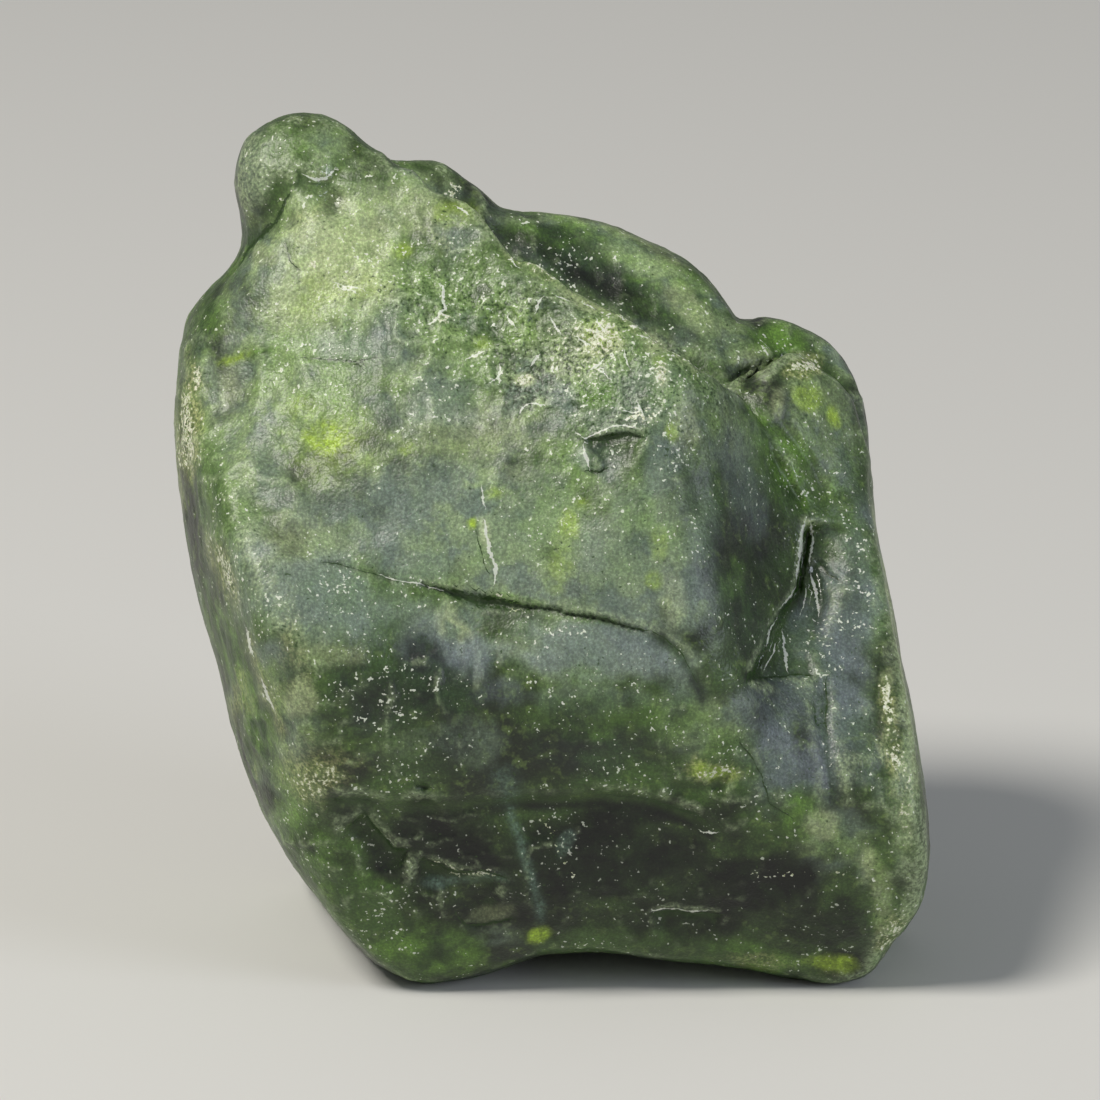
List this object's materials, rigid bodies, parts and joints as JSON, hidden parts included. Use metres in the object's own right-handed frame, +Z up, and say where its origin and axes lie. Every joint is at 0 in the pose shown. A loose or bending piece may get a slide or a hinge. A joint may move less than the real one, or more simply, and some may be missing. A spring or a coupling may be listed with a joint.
{
  "type": "raw chrome diopside",
  "caption": "Raw lump of waxy green chrome diopside with a broad cleaved front, a blunt knob at the top left, lobes at the right and two worn feet to stand on.",
  "frame": {"origin": "middle of the outside size in X and Y, on the plane that the stone stands on", "axes": "+Z up, +X to the right and -Y towards someone who looks at the broad cleaved front"},
  "size_m": [0.0288, 0.0216, 0.0318],
  "materials": {
    "diopside": "satin"
  },
  "bodies": {
    "root": {"stone": "diopside"}
  },
  "joints": []
}
